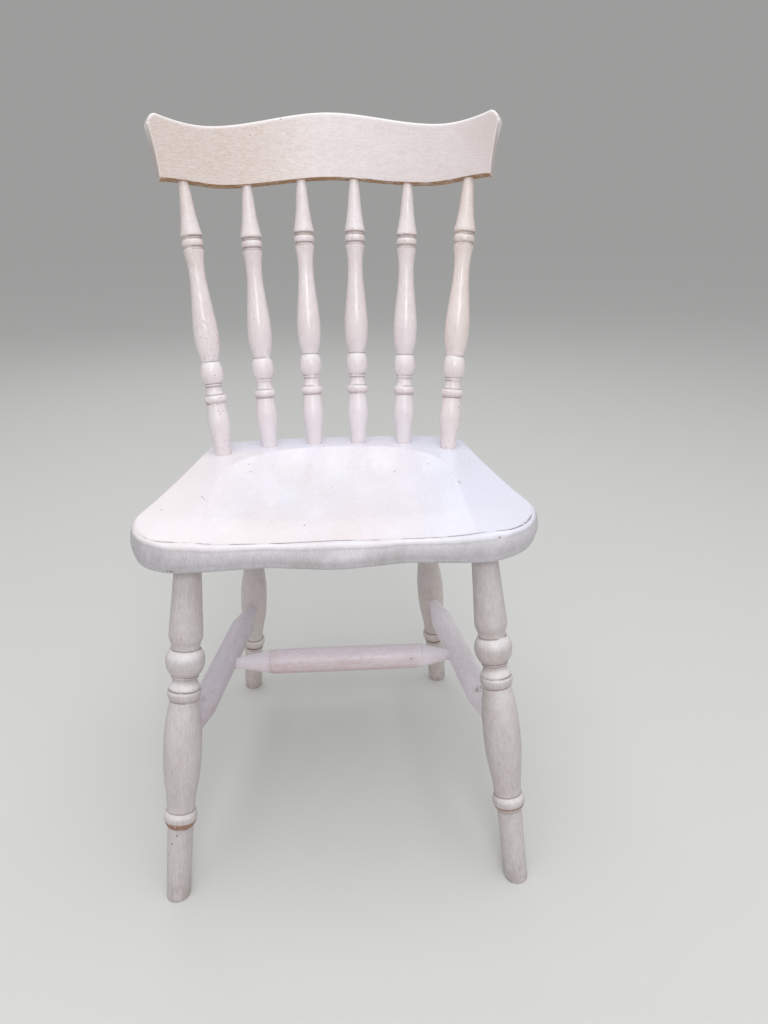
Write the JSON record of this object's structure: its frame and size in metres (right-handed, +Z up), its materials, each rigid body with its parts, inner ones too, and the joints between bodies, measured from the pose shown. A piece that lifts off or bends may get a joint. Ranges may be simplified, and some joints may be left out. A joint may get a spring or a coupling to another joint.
{
  "type": "chair",
  "caption": "Painted wooden kitchen chair with turned back spindles under a curved crest rail, a dished plank seat and splayed turned legs tied by plain stretchers, in worn cream paint.",
  "frame": {"origin": "on the floor, under the middle of the chair's bounding box", "axes": "+Z up, -Y towards the front edge of the seat, +X to the right seen from the front"},
  "size_m": [0.4748, 0.5272, 0.8921],
  "materials": {
    "seat_paint": "worn off-white paint, rubbed glossy by sitting, with specks and scratches",
    "crest_paint": "thin worn cream paint with the wood grain showing through",
    "spindle_paint": "thin worn cream paint, darker in the grooves and rubbed on the beads",
    "leg_paint": "thin worn cream paint, chipped and rubbed bare under the rings",
    "stretcher_paint": "thin worn cream paint with brown rub marks"
  },
  "bodies": {
    "root": {"seat": "seat_paint", "crest_rail": "crest_paint", "spindle_left_outer": "spindle_paint", "spindle_left_mid": "spindle_paint", "spindle_left_inner": "spindle_paint", "spindle_right_inner": "spindle_paint", "spindle_right_mid": "spindle_paint", "spindle_right_outer": "spindle_paint", "leg_front_left": "leg_paint", "leg_front_right": "leg_paint", "leg_rear_left": "leg_paint", "leg_rear_right": "leg_paint", "stretcher_left": "stretcher_paint", "stretcher_right": "stretcher_paint", "stretcher_cross": "stretcher_paint"}
  },
  "joints": []
}
